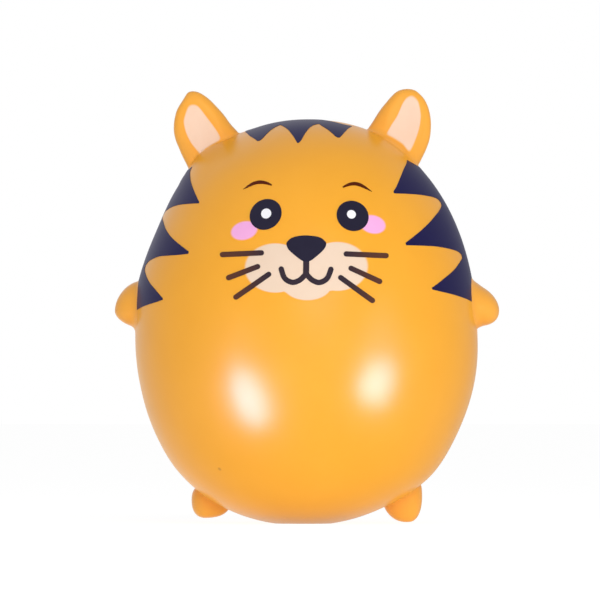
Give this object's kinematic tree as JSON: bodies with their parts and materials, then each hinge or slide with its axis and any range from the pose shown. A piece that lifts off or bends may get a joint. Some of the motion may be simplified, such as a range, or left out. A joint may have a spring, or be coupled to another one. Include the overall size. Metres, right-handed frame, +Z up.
{
  "type": "squishy toy",
  "caption": "Egg-shaped tiger squeeze toy in soft slow-rise foam, with ears, arm and foot nubs and a printed face and stripes; it presses down and springs back.",
  "frame": {"origin": "centre of the flat patch that the toy stands on", "axes": "+Z up through the crown, the face looks along -Y, +X towards the toy's own left"},
  "size_m": [0.1066, 0.0938, 0.1197],
  "materials": {
    "foam": "satin self-skinned slow-rise foam",
    "cream_ink": "satin print",
    "navy_ink": "satin print",
    "white_ink": "satin print",
    "pink_ink": "satin print",
    "brown_ink": "satin print"
  },
  "bodies": {
    "belly": {"belly": "foam"},
    "head": {"head": "foam", "muzzle_patch": "cream_ink", "nose": "navy_ink", "eye_left": "navy_ink", "eye_right": "navy_ink", "stripes_left": "navy_ink", "stripes_right": "navy_ink", "stripes_top": "navy_ink", "eye_glint_left": "white_ink", "eye_glint_right": "white_ink", "cheek_left": "pink_ink", "cheek_right": "pink_ink", "mouth": "brown_ink", "brow_left": "brown_ink", "brow_right": "brown_ink", "whisker_left_upper": "brown_ink", "whisker_left_middle": "brown_ink", "whisker_left_lower": "brown_ink", "whisker_right_upper": "brown_ink", "whisker_right_middle": "brown_ink", "whisker_right_lower": "brown_ink"},
    "ear_left": {"ear_left": "foam", "ear_inner_left": "cream_ink"},
    "arm_left": {"arm_left": "foam"},
    "foot_left": {"foot_left": "foam"},
    "ear_right": {"ear_right": "foam", "ear_inner_right": "cream_ink"},
    "arm_right": {"arm_right": "foam"},
    "foot_right": {"foot_right": "foam"}
  },
  "joints": [
    {"name": "press", "type": "slide", "parent": "belly", "child": "head", "axis": [0, 0, -1], "range_m": [0, 0.02], "stiffness_N_per_m": 400, "springref_m": -0.003, "deforming": ["belly"]},
    {"name": "fold_ear_left", "type": "hinge", "parent": "head", "child": "ear_left", "pos_m": [0.02549, 0, 0.10156], "axis": [0.7886, 0, -0.6149], "range_deg": [-25, 25], "stiffness_Nm_per_rad": 0.01},
    {"name": "fold_ear_right", "type": "hinge", "parent": "head", "child": "ear_right", "pos_m": [-0.0247, 0, 0.10215], "axis": [0.8032, 0, 0.5957], "range_deg": [-25, 25], "stiffness_Nm_per_rad": 0.01},
    {"name": "flex_arm_left", "type": "hinge", "parent": "head", "child": "arm_left", "pos_m": [0.04615, 0, 0.06027], "axis": [0, -1, 0], "range_deg": [-20, 25], "stiffness_Nm_per_rad": 0.01},
    {"name": "flex_arm_right", "type": "hinge", "parent": "head", "child": "arm_right", "pos_m": [-0.04615, 0, 0.06027], "axis": [0, 1, 0], "range_deg": [-20, 25], "stiffness_Nm_per_rad": 0.01},
    {"name": "flex_foot_left", "type": "hinge", "parent": "belly", "child": "foot_left", "pos_m": [0.0265, 0.002, 0.00733], "axis": [0, -1, 0], "range_deg": [-10, 25], "stiffness_Nm_per_rad": 0.01},
    {"name": "flex_foot_right", "type": "hinge", "parent": "belly", "child": "foot_right", "pos_m": [-0.0265, 0.002, 0.00733], "axis": [0, 1, 0], "range_deg": [-10, 25], "stiffness_Nm_per_rad": 0.01}
  ]
}
